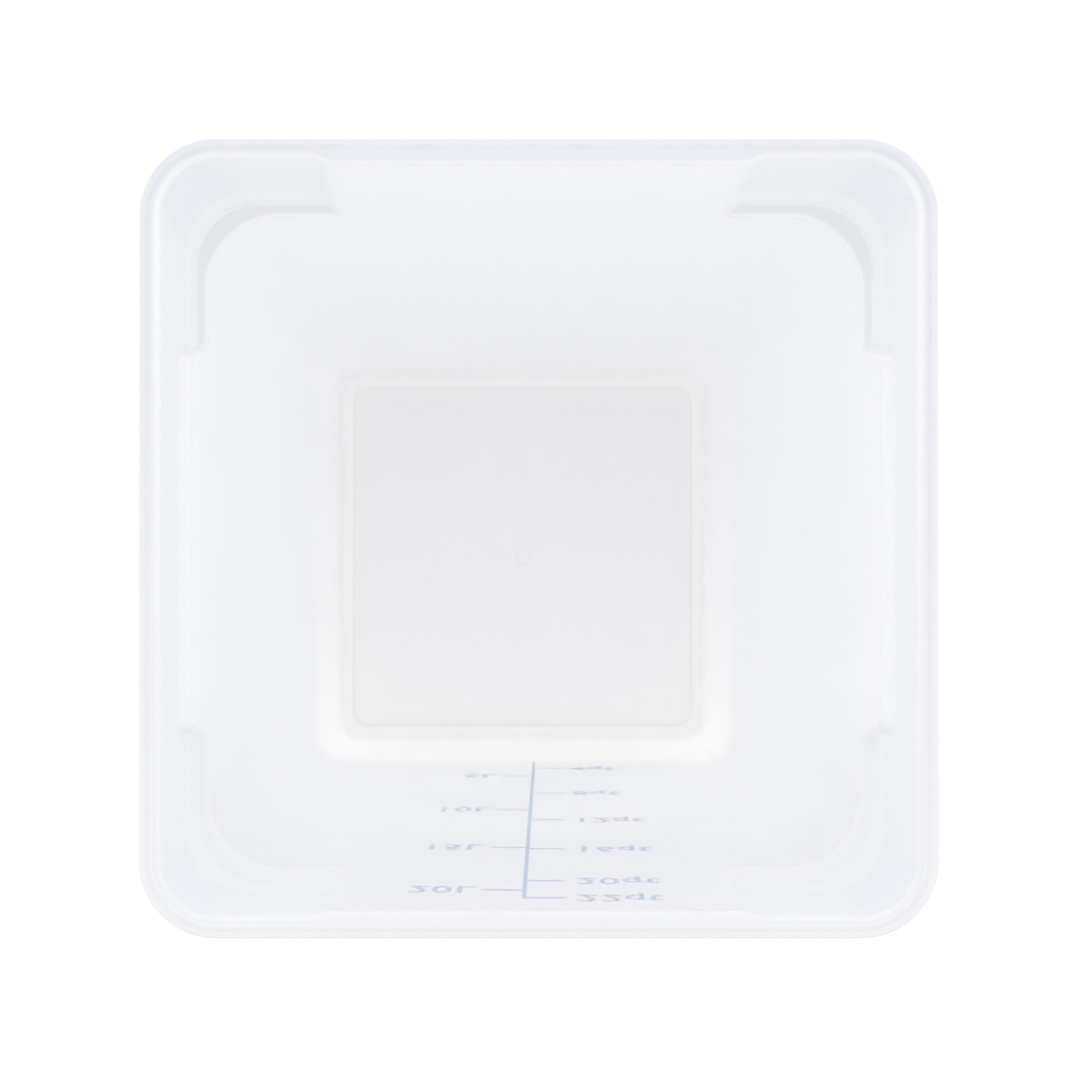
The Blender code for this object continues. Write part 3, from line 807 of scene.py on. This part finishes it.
def moulding_group():
    group, tree, size = new_group("moulding", (
        ("Grip template", "Object"), ("Panel template", "Object"), ("Height", "Float"),
        ("Grip half length", "Float"), ("Panel half length", "Float"),
        ("Blend length", "Float"), ("Blend steps", "Int"), ("Corner steps", "Int"),
        ("Hold", "Float"), ("Round field", "Float"), ("Material", "Material")))
    corner = size["Geometry"]
    size_of_card = tree.add("GeometryNodeAttributeDomainSize", {"Geometry": corner})
    rows = size_of_card.outputs["Point Count"]
    last_blend = tree.math("ADD", size["Blend steps"], 1)
    arc_start = tree.math("ADD", last_blend, 2)
    arc_end = tree.math("ADD", arc_start, size["Corner steps"])
    last_arc = tree.math("ADD", arc_end, 1)
    last = tree.math("ADD", last_arc, tree.math("ADD", last_blend, 1))
    columns = tree.math("ADD", last, 1)
    grid = tree.add("GeometryNodeMeshGrid", {"Vertices X": columns, "Vertices Y": rows})
    index = tree.add("GeometryNodeInputIndex").outputs[0]
    column = tree.math("FLOOR", tree.math("DIVIDE", index, rows))
    row = tree.math("MODULO", index, rows)

    def read(geometry, value, kind):
        inputs = {"Geometry": geometry, "Value": value, "Index": row}
        return tree.add("GeometryNodeSampleIndex", inputs, data_type=kind).outputs[0]

    def stored(name):
        field = tree.add("GeometryNodeInputNamedAttribute", {"Name": name}, data_type="FLOAT")
        return read(corner, field.outputs[0], "FLOAT")

    def place(label):
        geometry = corner
        if label:
            card_object = tree.add("GeometryNodeObjectInfo", {"Object": size[label]})
            geometry = card_object.outputs["Geometry"]
        position = tree.add("GeometryNodeInputPosition").outputs[0]
        return read(geometry, position, "FLOAT_VECTOR")

    def store(geometry, name, value):
        inputs = {"Geometry": geometry, "Name": name, "Value": value}
        return tree.add("GeometryNodeStoreNamedAttribute", inputs, data_type="FLOAT",
                        domain="POINT").outputs[0]

    def side(steps_in, end):
        """Along-wall place and blend weight on one straight side of the quarter."""
        share = tree.ramp(steps_in, 1.0, last_blend)
        weight = tree.ramp(steps_in, 1.0, last_blend, kind="SMOOTHERSTEP")
        reach = tree.math("MULTIPLY", size["Blend length"], tree.math("SUBTRACT", share, 0.5))
        end_here = tree.math("SUBTRACT", size[end], stored("inward_shift"))
        along = tree.math("MULTIPLY_ADD", end_here, stored("spread"), reach)
        return tree.math("MULTIPLY", along, tree.math("GREATER_THAN", steps_in, 0.5)), weight

    def blend(share, first, second):
        return tree.add("ShaderNodeMix", {0: share, 4: first, 5: second},
                        data_type="VECTOR").outputs[1]

    along, grip_weight = side(column, "Grip half length")
    across, panel_weight = side(tree.math("SUBTRACT", last, column), "Panel half length")
    section = blend(grip_weight, place("Grip template"), place(""))
    section = blend(panel_weight, place("Panel template"), section)
    section = tree.add("ShaderNodeSeparateXYZ", {0: section}).outputs
    half, depth = section[0], section[1]
    radius = stored("corner_radius")
    centre = tree.math("SUBTRACT", half, radius)
    turn = tree.ramp(column, arc_start, arc_end, 0.0, math.pi / 2)
    before_arc = tree.math("COMPARE", column, tree.math("SUBTRACT", arc_start, 1), 0.5)
    after_arc = tree.math("COMPARE", column, last_arc, 0.5)

    def on_arc(function, hold):
        reach = tree.math("MULTIPLY", radius, tree.math(function, turn))
        held = tree.math("MULTIPLY", hold, size["Hold"])
        return tree.math("SUBTRACT", tree.math("ADD", centre, reach), held)

    on_grip = tree.math("LESS_THAN", column, tree.math("ADD", last_blend, 0.5))
    on_panel = tree.math("GREATER_THAN", column, tree.math("ADD", last_arc, 0.5))
    x = tree.either(on_panel, on_arc("COSINE", after_arc), across)
    y = tree.either(on_grip, on_arc("SINE", before_arc), along)
    even_turn = tree.ramp(column, 0.0, last, 0.0, math.pi / 2)
    is_round = tree.math("LESS_THAN", half, tree.math("ADD", size["Round field"], ROUND_MARGIN))
    x = tree.either(is_round, x, tree.math("MULTIPLY", half, tree.math("COSINE", even_turn)))
    y = tree.either(is_round, y, tree.math("MULTIPLY", half, tree.math("SINE", even_turn)))
    z = tree.math("SUBTRACT", size["Height"], depth)
    point = tree.add("ShaderNodeCombineXYZ", {0: x, 1: y, 2: z}).outputs[0]
    skin = store(grid.outputs["Mesh"], "foot", stored("foot"))
    skin = store(skin, "collar", tree.math("MULTIPLY", stored("collar"), panel_weight))
    skin = tree.add("GeometryNodeSetPosition", {"Geometry": skin, "Position": point})
    part = tree.add("GeometryNodeFlipFaces", {"Mesh": skin.outputs[0]}).outputs[0]
    for mirror in ((-1, 1, 1), (1, -1, 1)):
        copy = tree.add("GeometryNodeTransform", {"Geometry": part, "Scale": mirror}).outputs[0]
        copy = tree.add("GeometryNodeFlipFaces", {"Mesh": copy}).outputs[0]
        join = tree.add("GeometryNodeJoinGeometry")
        group.links.new(part, join.inputs[0])
        group.links.new(copy, join.inputs[0])
        part = join.outputs[0]
    part = tree.add("GeometryNodeMergeByDistance",
                    {"Geometry": part, "Distance": MERGE_DISTANCE}).outputs[0]
    part = tree.add("GeometryNodeSetShadeSmooth", {"Geometry": part}).outputs[0]
    normal = tree.add("GeometryNodeInputNormal").outputs[0]
    level = tree.math("ABSOLUTE", tree.add("ShaderNodeSeparateXYZ", {0: normal}).outputs["Z"])
    part = store(part, "level", level)
    part = tree.add("GeometryNodeRealizeInstances", {"Geometry": part}).outputs[0]
    part = tree.add("GeometryNodeSetMaterial", {"Geometry": part, "Material": size["Material"]})
    tree.add("NodeGroupOutput", {0: part.outputs[0]})
    return group


# %% Build the moulding
GRIP_HALF = 0.074
PANEL_HALF_LENGTH = 0.078
BLEND_LENGTH = 0.012
BLEND_STEPS = 12
CORNER_STEPS = 18


def report(name, mesh):
    """Prints what a mesh is made of, and whether it is closed."""
    work = bmesh.new()
    work.from_mesh(mesh)
    open_edges = sum(1 for link in work.edges if len(link.link_faces) != 2)
    litres = work.calc_volume(signed=True) * 1000
    print(name, len(mesh.polygons), "faces,", open_edges, "open edges,", round(litres, 4), "litres")
    work.free()


body_mesh = run_group(cards["corner"], moulding_group(), {
    "Grip template": cards["grip"], "Panel template": cards["panel"], "Height": HEIGHT,
    "Grip half length": GRIP_HALF, "Panel half length": PANEL_HALF_LENGTH,
    "Blend length": BLEND_LENGTH, "Blend steps": BLEND_STEPS, "Corner steps": CORNER_STEPS,
    "Hold": HOLD, "Round field": ROUND_FIELD, "Material": plastic})
body_mesh.name = "moulding"
moulding = bpy.data.objects.new("moulding", body_mesh)
bpy.context.scene.collection.objects.link(moulding)
for thing in cards.values():
    bpy.data.objects.remove(thing)
report("moulding", body_mesh)
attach(moulding, "root")
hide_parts("container_body")

# %% [markdown]
# ## The printed scale
#
# The scale is screen-printed ink: one spine with marks, and labels beside the marks.
# The marks aren't evenly spaced. The walls lean outwards, so a quart stands less high
# near the mouth, and the height of a level follows from the cube root of its share.
#
# From inside, the ink is seen through the milky wall, with the light behind it. So most
# of it is see-through, its tone is painted lighter than ink on paper to stand for that
# light behind it, a painted light, and worn spots let a little more light through.

# %% Ink
# Painted light: the ink's tones are lighter than the real ink, for the light behind it.
INK_TONE_AND_BACKLIGHT = (0.46, 0.72, 1.00)
INK_WORN_TONE_AND_BACKLIGHT = (0.57, 0.80, 1.00)
INK_SEE_THROUGH = 0.9
INK_ROUGHNESS = (0.42, 0.60)
MOTTLE_SCALE = 900.0
MOTTLE_BUMP = {"Strength": 0.2, "Distance": 0.00003}


def ink_material():
    finish = bpy.data.materials.new("blue printing ink")
    finish.use_nodes = True
    tree = Tree(finish.node_tree)
    shader = finish.node_tree.nodes["Principled BSDF"]
    place = tree.add("ShaderNodeTexCoord").outputs["Object"]
    mottle = pattern(tree, place, MOTTLE_SCALE, 3.0)
    bump = tree.add("ShaderNodeBump", {"Height": mottle, **MOTTLE_BUMP}).outputs[0]
    for label, value in (("Base Color", blend_tone(tree, mottle, INK_TONE_AND_BACKLIGHT, INK_WORN_TONE_AND_BACKLIGHT)),
                         ("Roughness", tree.ramp(mottle, *NOISE_RANGE, *INK_ROUGHNESS)),
                         ("Normal", bump)):
        finish.node_tree.links.new(value, shader.inputs[label])
    shader.inputs["Transmission Weight"].default_value = INK_SEE_THROUGH
    return finish


ink = ink_material()
print("made", ink.name)

# %% Print frame
FULL_DEPTH = 0.032
FULL_QUARTS = 22
QUARTS_PER_LITRE = 1.05669
QUART_STEP = 4
LITRE_STEP = 5
PRINT_LEAN = math.radians(1.9)
INK_LIFT = 0.00003


def mark_depth(quarts):
    """Depth below the rim of the level that so many quarts reach."""
    full = wall_half(FULL_DEPTH) ** 3
    half = (WALL_FLOOR ** 3 + (full - WALL_FLOOR ** 3) * quarts / FULL_QUARTS) ** (1 / 3)
    return (WALL_TOP - half) / WALL_SLOPE


middle_depth = (FULL_DEPTH + mark_depth(QUART_STEP)) / 2
slant = math.hypot(1, WALL_SLOPE) / math.cos(PRINT_LEAN)
up_wall = Vector((0, -WALL_SLOPE, 1)).normalized()
out_of_wall = Vector((1, 0, 0)).cross(up_wall)
print_place = Vector((0, -wall_half(middle_depth) - WALL, HEIGHT - middle_depth))
print_place += out_of_wall * INK_LIFT
axes = Matrix((Vector((1, 0, 0)), up_wall, out_of_wall)).transposed().to_4x4()
print_frame = Matrix.Translation(print_place) @ axes @ Matrix.Rotation(PRINT_LEAN, 4, "Z")
print("print's middle at", [round(value, 4) for value in print_place])


# %% [markdown]
# Each mark is the same small shape, so the tree makes one and instances it on points. A
# point's height on the wall comes from the same cube root, worked out inside the tree,
# so the marks follow if a size of the container changes.


# %% The scale's tree
PATCH_ROUND = 0.0003
PATCH_MERGE = 0.000002
SPINE_THICKER = 1.3


def scale_group():
    group, tree, size = new_group("printed scale", (
        ("Quart step", "Float"), ("Quart marks", "Int"), ("Litre step", "Float"),
        ("Litre marks", "Int"), ("Full quarts", "Float"), ("Floor half", "Float"),
        ("Full half", "Float"), ("Wall top", "Float"), ("Wall slope", "Float"),
        ("Middle depth", "Float"), ("Slant", "Float"), ("Mark length", "Float"),
        ("Mark width", "Float"), ("Spine width", "Float"), ("Spine tail", "Float"),
        ("Film", "Float"), ("Material", "Material")))
    floor_cube = tree.math("POWER", size["Floor half"], 3.0)
    growth = tree.math("SUBTRACT", tree.math("POWER", size["Full half"], 3.0), floor_cube)

    def height(quarts):
        share = tree.math("DIVIDE", tree.math("MINIMUM", quarts, size["Full quarts"]),
                          size["Full quarts"])
        half = tree.math("POWER", tree.math("MULTIPLY_ADD", growth, share, floor_cube), 1 / 3)
        depth = tree.math("DIVIDE", tree.math("SUBTRACT", size["Wall top"], half),
                          size["Wall slope"])
        return tree.math("MULTIPLY", tree.math("SUBTRACT", size["Middle depth"], depth),
                         size["Slant"])

    def film(width, length, thickness):
        """A thin printed patch with slightly rounded corners, closed on every side."""
        outline = tree.add("GeometryNodeCurvePrimitiveQuadrilateral",
                           {"Width": width, "Height": length}).outputs[0]
        outline = tree.add("GeometryNodeFilletCurve",
                           {"Curve": outline, "Count": 3, "Radius": PATCH_ROUND},
                           mode="POLY").outputs[0]
        flat = tree.add("GeometryNodeFillCurve", {"Curve": outline}).outputs[0]
        raised = tree.add("GeometryNodeExtrudeMesh", {"Mesh": flat, "Offset Scale": thickness,
                                                      "Individual": False}).outputs[0]
        under = tree.add("GeometryNodeFlipFaces", {"Mesh": flat}).outputs[0]
        return joined(raised, under)

    def joined(*parts):
        join = tree.add("GeometryNodeJoinGeometry")
        for part in parts:
            group.links.new(part, join.inputs[0])
        return tree.add("GeometryNodeMergeByDistance", {"Geometry": join.outputs[0],
                                                        "Distance": PATCH_MERGE}).outputs[0]

    def marks(step, count, side):
        index = tree.add("GeometryNodeInputIndex").outputs[0]
        quarts = tree.math("MULTIPLY", tree.math("ADD", index, 1), step)
        points = tree.add("GeometryNodePoints", {"Count": count}).outputs[0]
        across = tree.math("MULTIPLY", size["Mark length"], side / 2)
        place = tree.add("ShaderNodeCombineXYZ", {0: across, 1: height(quarts)}).outputs[0]
        points = tree.add("GeometryNodeSetPosition", {"Geometry": points, "Position": place})
        shape = film(size["Mark length"], size["Mark width"], size["Film"])
        return tree.add("GeometryNodeInstanceOnPoints", {"Points": points.outputs[0],
                                                         "Instance": shape}).outputs[0]

    top = tree.math("MULTIPLY_ADD", size["Mark width"], 0.5, height(size["Full quarts"]))
    bottom = tree.math("SUBTRACT", height(size["Quart step"]), size["Spine tail"])
    spine = film(size["Spine width"], tree.math("SUBTRACT", top, bottom),
                 tree.math("MULTIPLY", size["Film"], SPINE_THICKER))
    middle = tree.math("MULTIPLY", tree.math("ADD", top, bottom), 0.5)
    lift = tree.add("ShaderNodeCombineXYZ", {1: middle}).outputs[0]
    spine = tree.add("GeometryNodeTransform", {"Geometry": spine, "Translation": lift}).outputs[0]
    quarts = marks(size["Quart step"], size["Quart marks"], 1)
    litres = marks(size["Litre step"], size["Litre marks"], -1)
    join = tree.add("GeometryNodeJoinGeometry")
    for part in (spine, quarts, litres):
        group.links.new(part, join.inputs[0])
    whole = tree.add("GeometryNodeRealizeInstances", {"Geometry": join.outputs[0]}).outputs[0]
    whole = tree.add("GeometryNodeSetMaterial", {"Geometry": whole, "Material": size["Material"]})
    tree.add("NodeGroupOutput", {0: whole.outputs[0]})
    return group


# %% Build the scale's spine and marks
MARK_LENGTH = 0.0156
MARK_WIDTH = 0.0022
SPINE_WIDTH = 0.0017
SPINE_TAIL = 0.020
FILM = 0.00005
QUART_MARKS = (4, 8, 12, 16, 20, 22)
LITRE_MARKS = (5, 10, 15, 20)

start_mesh = bpy.data.meshes.new("start")
start = bpy.data.objects.new("start", start_mesh)
bpy.context.scene.collection.objects.link(start)
scale_mesh = run_group(start, scale_group(), {
    "Quart step": float(QUART_STEP), "Quart marks": len(QUART_MARKS),
    "Litre step": LITRE_STEP * QUARTS_PER_LITRE, "Litre marks": len(LITRE_MARKS),
    "Full quarts": float(FULL_QUARTS), "Floor half": WALL_FLOOR,
    "Full half": wall_half(FULL_DEPTH), "Wall top": WALL_TOP, "Wall slope": WALL_SLOPE,
    "Middle depth": middle_depth, "Slant": slant, "Mark length": MARK_LENGTH,
    "Mark width": MARK_WIDTH, "Spine width": SPINE_WIDTH, "Spine tail": SPINE_TAIL,
    "Film": FILM, "Material": ink})
bpy.data.objects.remove(start)
scale_mesh.transform(print_frame)


def printed(name, mesh, nodes):
    """A finished patch of ink that stands for its CAD nodes."""
    mesh.name = name
    piece = bpy.data.objects.new(name, mesh)
    bpy.context.scene.collection.objects.link(piece)
    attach(piece, "root")
    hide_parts(*nodes)
    report(name, mesh)


printed("printed_scale", scale_mesh, ["scale_line"])

# %% [markdown]
# ## The labels
#
# Every label is plain type, a numeral and its unit, set beside its mark and a little
# wider and bolder than the typeface draws it. The letters are made one at a time,
# because print on packaging is spaced more openly than running text.

# %% Labels
TYPE_HEIGHT = 0.0100
FIGURE_SHARE = 0.682
TYPE_SIZE = TYPE_HEIGHT / FIGURE_SHARE
TYPE_STRETCH = 1.10
LETTER_SPACE = 0.0009
LETTER_WEIGHT = 0.00025
LETTER_WIDTHS = {"q": 0.500, "t": 0.333, "L": 0.490}
FIGURE_WIDTH = 0.500
LABEL_GAPS = {1: 0.0042, -1: 0.0033}


def advance(letter):
    return LETTER_WIDTHS.get(letter, FIGURE_WIDTH) * TYPE_STRETCH * TYPE_SIZE + LETTER_SPACE


def letter_mesh(letter):
    """One letter as a thin closed film of ink."""
    curve = bpy.data.curves.new("letter", "FONT")
    curve.body = letter
    curve.size = TYPE_SIZE
    curve.extrude = FILM / 2
    curve.offset = LETTER_WEIGHT
    curve.resolution_u = 8
    thing = bpy.data.objects.new("letter", curve)
    bpy.context.scene.collection.objects.link(thing)
    evaluated = thing.evaluated_get(bpy.context.evaluated_depsgraph_get())
    mesh = bpy.data.meshes.new_from_object(evaluated)
    bpy.data.objects.remove(thing)
    return mesh


def label(words, quarts, side):
    """One printed label beside its mark."""
    width = sum(advance(letter) for letter in words) - LETTER_SPACE
    pen = side * (MARK_LENGTH + LABEL_GAPS[side]) - (width if side < 0 else 0)
    baseline = (middle_depth - mark_depth(quarts)) * slant - TYPE_HEIGHT / 2
    work = bmesh.new()
    for letter in words:
        mesh = letter_mesh(letter)
        mesh.transform(Matrix.Translation((pen, baseline, FILM / 2))
                       @ Matrix.Scale(TYPE_STRETCH, 4, Vector((1, 0, 0))))
        work.from_mesh(mesh)
        pen += advance(letter)
    bmesh.ops.remove_doubles(work, verts=work.verts, dist=PATCH_MERGE)
    mesh = bpy.data.meshes.new("label")
    work.to_mesh(mesh)
    work.free()
    mesh.transform(print_frame)
    mesh.materials.append(ink)
    nodes = [f"scale_{words}_{place + 1}_{letter}" for place, letter in enumerate(words)]
    printed(f"printed_{words}", mesh, nodes)


for quarts in QUART_MARKS:
    label(f"{quarts}qt", quarts, 1)
for litres in LITRE_MARKS:
    label(f"{litres}L", QUARTS_PER_LITRE * litres, -1)
